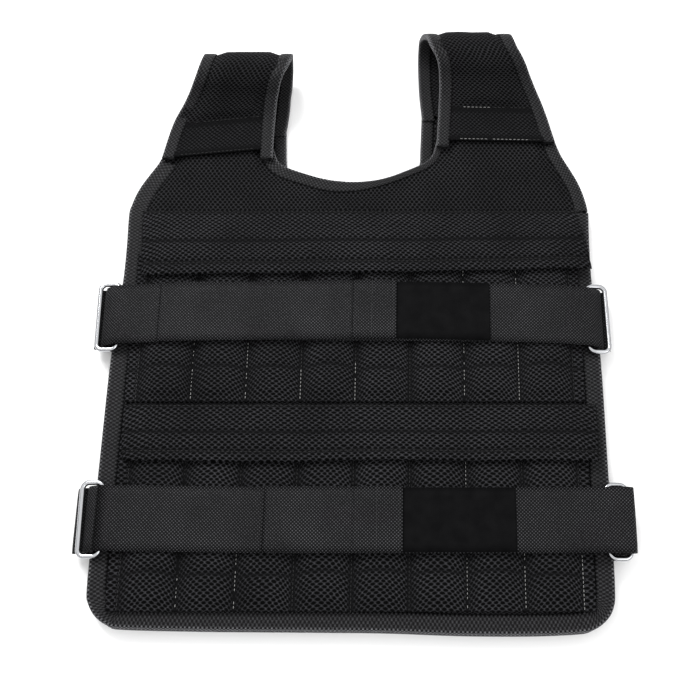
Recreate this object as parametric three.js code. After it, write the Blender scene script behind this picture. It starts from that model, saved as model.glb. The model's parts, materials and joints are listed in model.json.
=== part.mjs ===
import * as THREE from "three";

// A weighted vest that lies on its back, in millimetres: x runs across the vest, y from the hem
// up to the shoulders, and z up from the floor. Left and right are those of someone looking down at it.

// Outline of the body
const bodyWidth = 392;
const armholeBase = 342;
const hemCorner = 27;
const hemBow = 4;
const neckWidth = 142;
const neckShift = -4;
const neckRise = 30;
const backNeckDrop = 8;
const lean = 8;

// Cloth, foam, tape and webbing
const clearance = 0.4;
const padThickness = 8;
const edgeThickness = 2.4;
const tapeThickness = 1;
const bodyTape = 13.5;
const strapTape = 9.4;
const padSlope = 4.5;
const bendSteps = 3;
const cornerSteps = 4;
const sideSteps = 7;
const armholeSteps = 9;
const neckSteps = 8;

// Shoulder straps, each from its seam on the chest, above the neckline's lowest point, over the shoulder
// to the back panel, with its reach from the seam to the fold
const leftSeamRise = 26;
const rightSeamRise = 38;
const leftReach = 89;
const rightReach = 98;
const strapThickness = 8;
const lapThickness = 4.4;
const lapShare = 0.33;
const lapTuck = 0.06;
const shoulderWidth = 332;
const foldRadius = 21;
const strapSteps = 18;

// Rows of pockets for the weights
const pocketCount = 8;
const rowMargin = 0.6;
const rowEnd = 8.7;
const pocketWall = 2.8;
const seamThickness = 1.6;
const fullShare = 0.6;
const pocketHollow = 3.5;
const flapThickness = 3.4;
const flapSpans = 12;

// Belts with their hook patches
const beltWidth = 50;
const beltThickness = 1.5;
const patchThickness = 1.2;
const patchLap = 34;
const patchInset = 0.5;
const stepLength = 10;
const slackLead = 10;
const tautLead = 6;
const loopSteps = 22;

// Rings and the webbing tabs that hold them
const wireDiameter = 4;
const wireSides = 7;
const ringPlay = 1.2;
const ringCorner = 5;
const ringSpan = 15;
const barDrop = 1.2;
const tabThickness = 1;
const tabLength = 20;
const tabInset = 2;
const tabSteps = 7;
const tabWrap = (Math.PI * 5) / 4;

// Levels that follow from the thicknesses
const bodyHalf = bodyWidth / 2;
const shoulderHalf = shoulderWidth / 2;
const neckHalf = neckWidth / 2;
const neckBase = armholeBase + neckRise;
const backNeckBase = neckBase - backNeckDrop;
const tapeStack = edgeThickness / 2 + clearance + tapeThickness;
const frontFloor = padThickness + clearance;
const frontTop = frontFloor + padThickness;
const rowFloor = frontTop + clearance;
const pocketTop = rowFloor + pocketHollow + pocketWall;
const beltMid = pocketTop + clearance + beltThickness / 2;
const rootMid = 2 * tapeStack + clearance + beltThickness / 2;
const frontEdgeMid = frontFloor + padThickness / 2;
const innerBarZ = frontEdgeMid + tapeStack + clearance + tabThickness + clearance + wireDiameter / 2;
const outerBarZ = innerBarZ - barDrop;

const meshFabric = new THREE.MeshStandardMaterial({ color: "#1b1b1d", roughness: 0.9, metalness: 0 });
const bindingTape = new THREE.MeshStandardMaterial({ color: "#19191b", roughness: 0.8, metalness: 0 });
const webbing = new THREE.MeshStandardMaterial({ color: "#1e1e20", roughness: 0.75, metalness: 0 });
const hookTape = new THREE.MeshStandardMaterial({ color: "#242426", roughness: 0.7, metalness: 0 });
const chrome = new THREE.MeshStandardMaterial({ color: "#d6d6d8", roughness: 0.12, metalness: 1 });

const vest = new THREE.Group();
const skew = new THREE.Matrix4().makeShear(0, 0, lean / neckBase, 0, 0, 0);

// Adds a named piece, moved sideways with its height because the vest lies a little skewed.
function addPiece(name, geometry, material) {
  geometry.applyMatrix4(skew);
  geometry.computeVertexNormals();
  const mesh = new THREE.Mesh(geometry, material);
  mesh.name = name;
  vest.add(mesh);
}

// Makes a geometry of points and triangles, turned so that its faces point outwards.
function solid(points, triangles) {
  let volume = 0;
  const normal = new THREE.Vector3();
  for (const [a, b, c] of triangles) {
    normal.crossVectors(points[b], points[c]);
    volume += points[a].dot(normal);
  }
  const index = triangles.flatMap(([a, b, c]) => (volume > 0 ? [a, b, c] : [a, c, b]));
  return new THREE.BufferGeometry().setFromPoints(points).setIndex(index);
}

// Joins closed rings of points into a skin. The flat section gives the triangles of both ends,
// and without it the last ring joins the first.
function loft(rings, section) {
  const size = rings[0].length;
  const triangles = [];
  const joins = section ? rings.length - 1 : rings.length;
  for (let i = 0; i < joins; i++) {
    const near = i * size;
    const far = ((i + 1) % rings.length) * size;
    for (let j = 0; j < size; j++) {
      const next = (j + 1) % size;
      triangles.push([near + j, near + next, far + next], [near + j, far + next, far + j]);
    }
  }
  if (section) {
    const last = (rings.length - 1) * size;
    for (const [a, b, c] of THREE.ShapeUtils.triangulateShape(section, [])) {
      const inOrder = THREE.ShapeUtils.area(section) > 0;
      const [p, q, r] = inOrder ? [a, b, c] : [a, c, b];
      triangles.push([p, r, q], [last + p, last + q, last + r]);
    }
  }
  return solid(rings.flat(), triangles);
}

// A sheet between an upper and a lower surface, both given over the same grid of columns and rows.
function sheet(columns, rows, upper, lower) {
  const points = [];
  const triangles = [];
  for (const surface of [upper, lower]) {
    for (const column of columns) {
      for (const row of rows) points.push(surface(column, row));
    }
  }
  const depth = rows.length;
  const under = columns.length * depth;
  const quad = (a, b, c, d) => triangles.push([a, b, c], [a, c, d]);
  for (let i = 0; i < columns.length - 1; i++) {
    for (let j = 0; j < depth - 1; j++) {
      const a = i * depth + j;
      quad(a, a + depth, a + depth + 1, a + 1);
      quad(under + a, under + a + 1, under + a + depth + 1, under + a + depth);
    }
  }
  for (let i = 0; i < columns.length - 1; i++) {
    const low = i * depth;
    const high = low + depth - 1;
    quad(low, low + under, low + depth + under, low + depth);
    quad(high, high + depth, high + depth + under, high + under);
  }
  for (let j = 0; j < depth - 1; j++) {
    const last = (columns.length - 1) * depth + j;
    quad(j, j + 1, j + 1 + under, j + under);
    quad(last, last + under, last + 1 + under, last + 1);
  }
  return solid(points, triangles);
}

// Smooth line through a table's points.
function smoothLine(points, steps) {
  return new THREE.CatmullRomCurve3(points, false, "centripetal").getPoints(steps);
}

// Height of a table's column at a place between its rows.
function lookUp(table, key, value, place) {
  const after = table.findIndex((row) => row[key] >= place);
  if (after === 0) return table[0][value];
  if (after < 0) return table[table.length - 1][value];
  const [a, b] = [table[after - 1], table[after]];
  return a[value] + ((b[value] - a[value]) * (place - a[key])) / (b[key] - a[key]);
}

// Half of the outline above the hem's corner: height as a share of the armhole's base, and
// width as a share of half the body.
const sideRows = [
  { height: 0.095, width: 1 },
  { height: 0.36, width: 1 },
  { height: 0.68, width: 0.994 },
  { height: 0.84, width: 0.976 },
  { height: 1, width: 0.98 },
];
// The armhole: height as a share of the way from its base to the top of the chest's shoulder, and
// width as a share of the way from the body's side to the shoulder's outer edge.
const armholeRows = [
  { height: 0.16, width: 0.1 },
  { height: 0.32, width: 0.29 },
  { height: 0.45, width: 0.52 },
  { height: 0.6, width: 0.8 },
  { height: 0.8, width: 1.05 },
  { height: 1, width: 1.3 },
];
// Half of the neckline, from the middle outwards: out as a share of half the neck's width, and up as a
// share of the way from its lowest point to the top of the chest's shoulder.
const neckRows = [
  { out: 0, up: 0 },
  { out: 0.32, up: 0.04 },
  { out: 0.54, up: 0.13 },
  { out: 0.745, up: 0.23 },
  { out: 0.9, up: 0.34 },
  { out: 0.985, up: 0.52 },
  { out: 1.01, up: 1 },
];
// The hem, from the left corner to the right one: across as a share of half its straight run, and
// rise as a share of its bow.
const hemRows = [
  { across: -1, rise: 1 },
  { across: -0.65, rise: 0.65 },
  { across: -0.2, rise: 0.5 },
  { across: 0.15, rise: 0.35 },
  { across: 0.5, rise: -0.15 },
  { across: 0.8, rise: -0.2 },
  { across: 1, rise: 0.15 },
];

const flat = (x, y) => new THREE.Vector3(x, y, 0);

// Right-hand edges of a body panel, as runs of points from the hem up to the shoulder's top. Its inner
// edge there lies at the given share of half the neck's width, and is drawn in to it halfway up the neck.
function bodyEdges(side, shoulderTop, neckLow, shoulderInner) {
  const turn = [];
  const cornerRise = hemBow * lookUp(hemRows, "across", "rise", side);
  for (let i = 0; i < cornerSteps; i++) {
    const angle = (i / cornerSteps - 1) * (Math.PI / 2);
    const reach = bodyHalf - hemCorner + hemCorner * Math.cos(angle);
    turn.push(flat(side * reach, cornerRise + hemCorner * (1 + Math.sin(angle))));
  }
  const sides = smoothLine(
    sideRows.map((row) => flat(side * bodyHalf * row.width, armholeBase * row.height)),
    sideSteps,
  );
  const start = sideRows[sideRows.length - 1].width * bodyHalf;
  const climb = shoulderTop - armholeBase;
  const armhole = smoothLine(
    [
      sides[sides.length - 1],
      ...armholeRows.map((row) =>
        flat(side * (start + (shoulderHalf - start) * row.width), armholeBase + climb * row.height),
      ),
    ],
    armholeSteps,
  );
  const narrowing = 1 - shoulderInner / neckRows[neckRows.length - 1].out;
  const neck = smoothLine(
    neckRows.map((row) => {
      const out = row.out * (1 - narrowing * Math.min(1, 2 * row.up));
      return flat(neckShift + side * neckHalf * out, neckLow + (shoulderTop - neckLow) * row.up);
    }),
    neckSteps,
  );
  return { turn, sides, armhole: armhole.slice(1), neck };
}

// Outline of a panel, counter-clockwise, as the stretches that carry binding tape.
function panelOutline(tops, neckLow, shoulderInners) {
  const left = bodyEdges(-1, tops[0], neckLow, shoulderInners[0]);
  const right = bodyEdges(1, tops[1], neckLow, shoulderInners[1]);
  const hem = hemRows
    .slice(1, -1)
    .map((row) => flat((bodyHalf - hemCorner) * row.across, hemBow * row.rise));
  const leftSide = [...left.turn, ...left.sides].reverse();
  const skirt = [...leftSide, ...hem, ...right.turn, ...right.sides];
  const leftArmhole = [...left.armhole].reverse();
  const neck = [...[...left.neck].reverse(), ...right.neck.slice(1)];
  return { skirt, leftArmhole, rightArmhole: right.armhole, neck: neck.reverse() };
}

// Direction into the material at each point of a line that has the material on its left.
function inwardOf(line) {
  return line.map((point, i) => {
    const before = line[Math.max(i - 1, 0)];
    const after = line[Math.min(i + 1, line.length - 1)];
    const arriving = point.clone().sub(before).normalize();
    const leaving = after.clone().sub(point).normalize();
    const along = arriving.clone().add(leaving).normalize();
    const turned = leaving.lengthSq() > 0 && arriving.lengthSq() > 0;
    const half = turned ? Math.max(along.dot(arriving), 0.5) : 1;
    return new THREE.Vector3(-along.y, along.x, 0).divideScalar(half);
  });
}

// A padded panel: its sewn edge is thin and level, and the foam swells inside it. Its shoulders are
// cut off square, where the straps carry on.
function paddedPanel(panel, floor, edgeMid) {
  const runs = [[...panel.leftArmhole, ...panel.skirt, ...panel.rightArmhole], panel.neck];
  const outline = runs.flat();
  const inward = runs.flatMap(inwardOf);
  const margin = bodyTape + clearance;
  const profile = [
    { inset: margin + padSlope, z: floor },
    { inset: margin, z: edgeMid - edgeThickness / 2 },
    { inset: 0, z: edgeMid - edgeThickness / 2 },
    { inset: 0, z: edgeMid + edgeThickness / 2 },
    { inset: margin, z: edgeMid + edgeThickness / 2 },
    { inset: margin + padSlope, z: floor + padThickness },
  ];
  const rings = profile.map(({ inset, z }) =>
    outline.map((point, i) => point.clone().addScaledVector(inward[i], inset).setZ(z)),
  );
  const size = outline.length;
  const triangles = [];
  for (let i = 0; i < rings.length - 1; i++) {
    for (let j = 0; j < size; j++) {
      const next = (j + 1) % size;
      const [a, b] = [i * size + j, i * size + next];
      triangles.push([a, b, b + size], [a, b + size, a + size]);
    }
  }
  const face = rings[0].map((point) => new THREE.Vector2(point.x, point.y));
  const top = (rings.length - 1) * size;
  for (const [a, b, c] of THREE.ShapeUtils.triangulateShape(face, [])) {
    triangles.push([a, c, b], [top + a, top + b, top + c]);
  }
  return solid(rings.flat(), triangles);
}

// Tape folded round an edge: each frame has the edge's place, the way into the material and the way up.
function binding(frames, width) {
  const inner = edgeThickness / 2 + clearance;
  const outer = inner + tapeThickness;
  const section = [
    { into: 1, up: outer },
    { into: 0, up: outer },
    { into: -clearance - tapeThickness, up: inner / 2, nose: true },
    { into: -clearance - tapeThickness, up: -inner / 2, nose: true },
    { into: 0, up: -outer },
    { into: 1, up: -outer },
    { into: 1, up: -inner },
    { into: -clearance, up: -inner, nose: true },
    { into: -clearance, up: inner, nose: true },
    { into: 1, up: inner },
  ];
  const reachOf = (corner, tape) => (corner.nose ? corner.into : corner.into * tape);
  const rings = frames.map(({ place, into, up, share = 1 }) =>
    section.map((corner) =>
      place
        .clone()
        .addScaledVector(into, reachOf(corner, width * share))
        .addScaledVector(up, corner.up),
    ),
  );
  return loft(rings, section.map((corner) => new THREE.Vector2(reachOf(corner, width), corner.up)));
}

// Frames of a level line of a panel's edge.
function levelFrames(line, edgeMid, tapeShares) {
  const inward = inwardOf(line);
  const up = new THREE.Vector3(0, 0, 1);
  return line.map((point, i) => ({
    place: point.clone().setZ(edgeMid),
    into: inward[i],
    up,
    share: tapeShares ? lookUp(tapeShares, "along", "tape", i / (line.length - 1)) : 1,
  }));
}

// Sections of the straps. Along is a share of the strap's reach, and rise a share of the climb to the top
// of the fold, from the chest on the front rows and from the floor on the back rows. The inner edge lies
// at a share of half the neck's width, and the outer edge at a share of half the shoulders' width.
const strapRows = {
  left: [
    { leg: "front", along: 0, rise: 0, inner: 1.01, outer: 1.004 },
    { leg: "front", along: lapShare, rise: 0.02, inner: 1, outer: 0.961 },
    { leg: "front", along: 0.54, rise: 0.4, inner: 0.972, outer: 0.892 },
    { leg: "front", along: 0.67, rise: 0.85, inner: 0.916, outer: 0.849 },
    { leg: "front", along: 0.78, rise: 1, inner: 0.846, outer: 0.825 },
    { leg: "back", along: 0.92, rise: 0.86, inner: 0.802, outer: 0.813 },
    { leg: "back", along: 1, rise: 0.5, inner: 0.809, outer: 0.819 },
    { leg: "back", along: 0.92, rise: 0.14, inner: 0.816, outer: 0.825 },
    { leg: "back", along: 0.78, rise: 0, inner: 0.832, outer: 0.831 },
    { leg: "back", along: 0.55, rise: 0, inner: 0.846, outer: 0.867 },
    { leg: "back", along: lapShare, rise: 0, inner: 0.874, outer: 0.904 },
  ],
  right: [
    { leg: "front", along: 0, rise: 0, inner: 1, outer: 0.997 },
    { leg: "front", along: lapShare, rise: 0.02, inner: 1.022, outer: 0.943 },
    { leg: "front", along: 0.54, rise: 0.4, inner: 1.024, outer: 0.88 },
    { leg: "front", along: 0.67, rise: 0.85, inner: 0.987, outer: 0.832 },
    { leg: "front", along: 0.78, rise: 1, inner: 0.907, outer: 0.79 },
    { leg: "back", along: 0.92, rise: 0.86, inner: 0.858, outer: 0.771 },
    { leg: "back", along: 1, rise: 0.5, inner: 0.788, outer: 0.747 },
    { leg: "back", along: 0.92, rise: 0.14, inner: 0.781, outer: 0.747 },
    { leg: "back", along: 0.78, rise: 0, inner: 0.788, outer: 0.753 },
    { leg: "back", along: 0.55, rise: 0, inner: 0.802, outer: 0.777 },
    { leg: "back", along: lapShare, rise: 0, inner: 0.83, outer: 0.843 },
  ],
};

const straps = [
  { side: -1, name: "left", seam: neckBase + leftSeamRise, reach: leftReach },
  { side: 1, name: "right", seam: neckBase + rightSeamRise, reach: rightReach },
];
// The panels go on under the straps for the share that is lapped, and the back panel's shoulders meet
// the straps' back ends.
const shoulderTops = straps.map((strap) => strap.seam + strap.reach * (lapShare - lapTuck));
const backTops = straps.map((strap) => strap.seam + strap.reach * lapShare - 2 * clearance);
const frontInners = straps.map(() => neckRows[neckRows.length - 1].out);
const backInners = straps.map(({ name }) => strapRows[name][strapRows[name].length - 1].inner);

const front = panelOutline(shoulderTops, neckBase, frontInners);
const back = panelOutline(backTops, backNeckBase, backInners);
const backEdgeMid = tapeStack;

addPiece("back_panel", paddedPanel(back, 0, backEdgeMid), meshFabric);
addPiece("front_panel", paddedPanel(front, frontFloor, frontEdgeMid), meshFabric);

// The stretch of a line between two heights, cut off exactly there.
function stretch(line, low, high) {
  return line.flatMap((point, i) => {
    const kept = point.y > low && point.y < high ? [point] : [];
    const next = line[i + 1] ?? point;
    const crossed = [low, high].find((height) => (point.y - height) * (next.y - height) < 0);
    if (crossed === undefined) return kept;
    return [...kept, point.clone().lerp(next, (crossed - point.y) / (next.y - point.y))];
  });
}

// The wide tape starts below the left strap and ends at the upper flap on the right.
const belowStrap = stretch(front.leftArmhole, armholeBase, straps[0].seam - strapTape / 2);
const frontTapeLine = [...belowStrap, ...front.skirt];
addPiece("front_binding", binding(levelFrames(frontTapeLine, frontEdgeMid), bodyTape), bindingTape);
const armholeLine = [front.skirt[front.skirt.length - 1], ...front.rightArmhole];
const armholeStart = armholeBase + strapTape / 2;
const armholeStretch = stretch(armholeLine, armholeStart, straps[1].seam - clearance);
addPiece(
  "armhole_binding",
  binding(levelFrames(armholeStretch, frontEdgeMid), strapTape),
  bindingTape,
);
const backTapeLine = [...back.leftArmhole, ...back.skirt, ...back.rightArmhole];
addPiece("back_binding", binding(levelFrames(backTapeLine, backEdgeMid), bodyTape), bindingTape);

// The neckline's tape shows on the left, and on the right the mesh rolls over most of it.
const neckTape = [
  { along: 0, tape: 0.5 },
  { along: 0.4, tape: 0.5 },
  { along: 0.55, tape: 1 },
  { along: 1, tape: 1 },
];
const neckFrames = levelFrames(front.neck.slice(1, -1), frontEdgeMid, neckTape);
addPiece("neck_binding", binding(neckFrames, strapTape), bindingTape);
addPiece("back_neck_binding", binding(levelFrames(back.neck, backEdgeMid), strapTape), bindingTape);

// Stations along a strap: the middle of its section, half its width, the way up from its face and how
// thick the foam is there.
function strapStations(strap) {
  const chest = frontTop + clearance + tapeStack;
  const ground = strapThickness / 2;
  const foldTop = ground + 2 * foldRadius;
  const rows = strapRows[strap.name];
  const innerOf = (row) => strap.side * neckShift + neckHalf * row.inner;
  const outerOf = (row) => shoulderHalf * row.outer;
  const middle = rows.map((row) => {
    const base = row.leg === "front" ? chest : ground;
    const x = (strap.side * (innerOf(row) + outerOf(row))) / 2;
    const y = strap.seam + strap.reach * row.along;
    return new THREE.Vector3(x, y, base + (foldTop - base) * row.rise);
  });
  const widths = rows.map((row) => flat((outerOf(row) - innerOf(row)) / 2, 0));
  const line = smoothLine(middle, strapSteps).map((point) => point.setZ(Math.max(point.z, ground)));
  const halves = smoothLine(widths, strapSteps);
  return line.map((place, i) => {
    const before = line[Math.max(i - 1, 0)];
    const after = line[Math.min(i + 1, line.length - 1)];
    const along = after.clone().sub(before).setX(0).normalize();
    const onChest = place.z < foldTop / 2 && i < line.length / 2;
    const sewn = onChest && place.y < strap.seam + strap.reach * (lapShare + lapTuck);
    const atEnd = i === line.length - 1;
    return {
      place,
      half: halves[i].x,
      up: new THREE.Vector3(0, -along.z, along.y),
      thickness: sewn || atEnd ? lapThickness : strapThickness,
    };
  });
}

function strapPad(stations) {
  const margin = strapTape + clearance;
  const corners = [
    { side: -1, inset: 0, up: 0.5, edge: true },
    { side: -1, inset: margin, up: 0.5, edge: true },
    { side: -1, inset: margin + padSlope, up: 0.5 },
    { side: 1, inset: margin + padSlope, up: 0.5 },
    { side: 1, inset: margin, up: 0.5, edge: true },
    { side: 1, inset: 0, up: 0.5, edge: true },
  ];
  const section = [...corners, ...[...corners].reverse().map((corner) => ({ ...corner, up: -0.5 }))];
  const across = new THREE.Vector3(1, 0, 0);
  const pointOf = (corner, station) => ({
    x: corner.side * (station.half - corner.inset),
    y: corner.up * (corner.edge ? edgeThickness : station.thickness),
  });
  const rings = stations.map((station) =>
    section.map((corner) => {
      const { x, y } = pointOf(corner, station);
      return station.place.clone().addScaledVector(across, x).addScaledVector(station.up, y);
    }),
  );
  const outline = section.map((corner) => {
    const { x, y } = pointOf(corner, stations[0]);
    return new THREE.Vector2(x, y);
  });
  return loft(rings, outline);
}

function strapBinding(stations, side) {
  const into = new THREE.Vector3(-side, 0, 0);
  return binding(
    stations.map(({ place, half, up }) => ({
      place: place.clone().add(new THREE.Vector3(side * half, 0, 0)),
      into,
      up,
    })),
    strapTape,
  );
}

for (const strap of straps) {
  const stations = strapStations(strap);
  addPiece("shoulder_strap_" + strap.name, strapPad(stations), meshFabric);
  const outer = strapBinding(stations, strap.side);
  const inner = strapBinding(stations, -strap.side);
  addPiece("strap_outer_binding_" + strap.name, outer, bindingTape);
  addPiece("strap_inner_binding_" + strap.name, inner, bindingTape);
}

// Swell across one pocket, from one column of stitches to the next.
const pocketAcross = [
  { share: 0, swell: 0 },
  { share: 0.18, swell: 0.68 },
  { share: 0.5, swell: 1 },
  { share: 0.82, swell: 0.68 },
];
// Swell up a pocket, from the stitched bottom to the open mouth, with a crease above the bottom.
const pocketUp = [
  { share: 0, swell: 0 },
  { share: 0.025, swell: 0.1 },
  { share: 0.085, swell: 0.86 },
  { share: 0.16, swell: 0.94 },
  { share: 0.205, swell: 0.72 },
  { share: 0.26, swell: 0.95 },
  { share: 0.6, swell: 1 },
  { share: 1, swell: 0.6 },
];

// The two rows of pockets with the flaps over their mouths and the belts across them. Bottom, mouth,
// belt and flapTop are heights from the hem as shares of the armhole's base. The flap's free edge lies
// above the belt, and it slants. Its left end tapers in and its right end, a share of half the body
// from the middle, flares out towards it.
const pocketRows = [
  { name: "upper", bottom: 0.515, mouth: 0.889, belt: 0.734, flapTop: 1.006, end: 0.93 },
  { name: "lower", bottom: 0.041, mouth: 0.421, belt: 0.237, flapTop: 0.509, end: 0.969 },
];
const flapEdges = {
  upper: { aboveBelt: 9, slant: 5, taper: 6, flare: 9 },
  lower: { aboveBelt: 20.5, slant: 0, taper: 4, flare: -2 },
};
const rowHalf = bodyHalf - bodyTape - clearance - rowMargin;
const pocketWidth = (2 * (rowHalf - rowEnd)) / pocketCount;

function pocketRow(row) {
  const columns = [{ x: -rowHalf, swell: 0 }];
  for (let i = 0; i < pocketCount; i++) {
    for (const { share, swell } of pocketAcross) {
      columns.push({ x: rowEnd - rowHalf + (i + share) * pocketWidth, swell });
    }
  }
  columns.push({ x: rowHalf - rowEnd, swell: 0 }, { x: rowHalf, swell: 0 });
  const bottom = armholeBase * row.bottom;
  const tall = armholeBase * row.mouth - bottom;
  const height = (column, up) => column.swell * up.swell;
  const lower = (column, up) => {
    const z = rowFloor + pocketHollow * height(column, up);
    return new THREE.Vector3(column.x, bottom + tall * up.share, z);
  };
  const upper = (column, up) => {
    const fullness = Math.min(1, height(column, up) / fullShare);
    const wall = seamThickness + (pocketWall - seamThickness) * fullness;
    return lower(column, up).add(new THREE.Vector3(0, 0, wall));
  };
  return sheet(columns, pocketUp, upper, lower);
}

// Bands of a flap from its top seam to its free edge: lift is a share of the climb from the chest onto
// the pockets, and thick a share of the flap's thickness, less at the crease and at the stitch line.
const flapBands = [
  { down: 0, lift: 0, thick: 0.4 },
  { down: 0.08, lift: 0.02, thick: 0.85 },
  { down: 0.28, lift: 0.3, thick: 1 },
  { down: 0.45, lift: 0.7, thick: 0.95 },
  { down: 0.53, lift: 0.8, thick: 0.6 },
  { down: 0.62, lift: 0.95, thick: 0.95 },
  { down: 0.76, lift: 1, thick: 0.9 },
  { down: 0.83, lift: 1, thick: 0.6 },
  { down: 0.9, lift: 1, thick: 0.8 },
  { down: 1, lift: 1, thick: 0.6 },
];

function flap(row) {
  const { aboveBelt, slant, taper, flare } = flapEdges[row.name];
  const columns = Array.from({ length: flapSpans + 1 }, (_, i) => i / flapSpans);
  const rest = pocketTop + clearance;
  const top = armholeBase * row.flapTop;
  const free = armholeBase * row.belt + beltWidth / 2 + aboveBelt;
  const lower = (share, band) => {
    const leftEnd = -rowHalf + taper * band.down;
    const rightEnd = bodyHalf * row.end + flare * band.down;
    const low = free + slant * (share - 0.5) * 2;
    const x = leftEnd + (rightEnd - leftEnd) * share;
    const y = top + (low - top) * band.down;
    return new THREE.Vector3(x, y, rowFloor + (rest - rowFloor) * band.lift);
  };
  const upper = (share, band) => {
    const rise = flapThickness * band.thick;
    return lower(share, band).add(new THREE.Vector3(0, 0, rise));
  };
  return sheet(columns, flapBands, upper, lower);
}

for (const row of pocketRows) {
  addPiece(row.name + "_pocket_row", pocketRow(row), meshFabric);
  addPiece(row.name + "_flap", flap(row), meshFabric);
}

// The belts. Each comes from the back panel's edge, goes up through its ring and over the pockets to the
// middle, where the left belt lies on the hook patch of the right one. Their free ends and the patch's
// outer end are shares of half the body, from the middle to the right.
const beltShares = {
  upper: { leftEnd: 0.163, rightEnd: -0.75, patch: 0.546 },
  lower: { leftEnd: 0.194, rightEnd: -0.327, patch: 0.628 },
};
const belts = pocketRows.map((row) => ({
  name: row.name,
  height: armholeBase * row.belt,
  edge: bodyHalf * lookUp(sideRows, "height", "width", row.belt),
  leftEnd: bodyHalf * beltShares[row.name].leftEnd,
  rightEnd: bodyHalf * beltShares[row.name].rightEnd,
  patch: bodyHalf * beltShares[row.name].patch,
}));
// How far each belt drops towards its ring, how far the ring's outer bar lies beyond the vest's edge and
// how far the belt bulges outside that bar on its way up from the back.
const beltEnds = {
  upper: { left: { drop: 3, reach: 14.5, bulge: 0.6 }, right: { drop: 5, reach: 8.5, bulge: 0.8 } },
  lower: { left: { drop: -2, reach: 10, bulge: 3 }, right: { drop: 0, reach: 13, bulge: 0.6, slack: true } },
};
const sides = [
  { name: "left", side: -1 },
  { name: "right", side: 1 },
];
const onBelt = beltThickness + clearance;
const onPatch = onBelt + patchThickness + clearance;

// The way of a belt in its own plane, with x positive towards its own ring. The slack belt bulges over
// the ring's outer bar, and the others are drawn down inside it.
function beltLoop(edge, { reach, bulge, slack }) {
  const half = beltThickness / 2;
  const barX = edge + reach;
  const innerX = barX - ringSpan;
  const wire = wireDiameter / 2;
  const below = outerBarZ - wire - clearance - half;
  const inside = barX - wire - clearance - half;
  const outside = barX + wire + half;
  const top = slack
    ? [
        { x: innerX - slackLead, z: beltMid + 1.2 },
        { x: barX - 1, z: beltMid + 2.2 },
        { x: outside + 1.2, z: beltMid - 0.6 },
        { x: barX - 2, z: outerBarZ + wire + clearance + half },
        { x: inside - 0.6, z: outerBarZ },
        { x: inside - 1, z: below },
      ]
    : [
        { x: innerX - tautLead, z: beltMid },
        { x: innerX + 1, z: beltMid - clearance },
        { x: innerX + wire + clearance + tabThickness + 2 * half, z: outerBarZ + 2 * wire },
        { x: inside - 1.2, z: outerBarZ },
        { x: inside - 0.5, z: below - 1 },
      ];
  return [
    ...top,
    { x: barX, z: below - 1.6 },
    { x: outside + bulge, z: (below + rootMid) / 2 },
    { x: barX, z: rootMid + 0.4 },
    { x: edge, z: rootMid },
    { x: edge - bodyTape, z: rootMid },
  ];
}

// The belt's run over the pockets, from its free end towards its ring. The left belt steps down from the
// patch onto the right belt, and from there onto the pockets.
function beltRun(belt, side) {
  if (side < 0) {
    const patchEnd = -belt.leftEnd + patchLap;
    return [
      { x: -belt.leftEnd, z: beltMid + onPatch },
      { x: patchEnd, z: beltMid + onPatch },
      { x: patchEnd + stepLength, z: beltMid + onBelt },
      { x: -belt.rightEnd, z: beltMid + onBelt },
      { x: -belt.rightEnd + stepLength, z: beltMid },
    ];
  }
  return [
    { x: belt.rightEnd, z: beltMid },
    { x: belt.patch + stepLength, z: beltMid },
  ];
}

function strip(path, side, height, width, thickness) {
  const corners = [
    { across: -0.5, up: 0.5 },
    { across: 0.5, up: 0.5 },
    { across: 0.5, up: -0.5 },
    { across: -0.5, up: -0.5 },
  ];
  const rings = path.map((point, i) => {
    const before = path[Math.max(i - 1, 0)];
    const after = path[Math.min(i + 1, path.length - 1)];
    const along = new THREE.Vector2(after.x - before.x, after.z - before.z).normalize();
    return corners.map(({ across, up }) =>
      new THREE.Vector3(
        side * (point.x - along.y * thickness * up),
        height(point.x) + width * across,
        point.z + along.x * thickness * up,
      ),
    );
  });
  const section = corners.map(({ across, up }) => new THREE.Vector2(width * across, thickness * up));
  return loft(rings, section);
}

// The belt's middle line sinks by its drop on its way from the middle to the vest's edge.
function beltHeight(belt, drop) {
  return (x) => belt.height - drop * Math.min(1, Math.max(0, x / belt.edge)) ** 2;
}

function smoothPath(points, steps) {
  return smoothLine(points.map(({ x, z }) => new THREE.Vector3(x, 0, z)), steps);
}

for (const belt of belts) {
  const { edge } = belt;
  for (const { name, side } of sides) {
    const end = beltEnds[belt.name][name];
    const height = beltHeight(belt, end.drop);
    const path = [...beltRun(belt, side), ...smoothPath(beltLoop(edge, end), loopSteps)];
    const geometry = strip(path, side, height, beltWidth, beltThickness);
    addPiece(`${belt.name}_belt_${name}`, geometry, webbing);
    addPiece(`${belt.name}_ring_${name}`, ring(side, edge + end.reach, height(edge)), chrome);
    addPiece(`${belt.name}_ring_tab_${name}`, ringTab(side, edge, end.reach, height), webbing);
  }
  const patchMid = beltMid + beltThickness / 2 + clearance + patchThickness / 2;
  const patchWay = [belt.leftEnd - patchLap, belt.leftEnd, (belt.leftEnd + belt.patch) / 2, belt.patch];
  const patchPath = patchWay.map((x) => ({ x, z: patchMid }));
  const patchHeight = beltHeight(belt, beltEnds[belt.name].right.drop);
  const patch = strip(patchPath, 1, patchHeight, beltWidth - 2 * patchInset, patchThickness);
  addPiece(belt.name + "_hook_patch", patch, hookTape);
}

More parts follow.
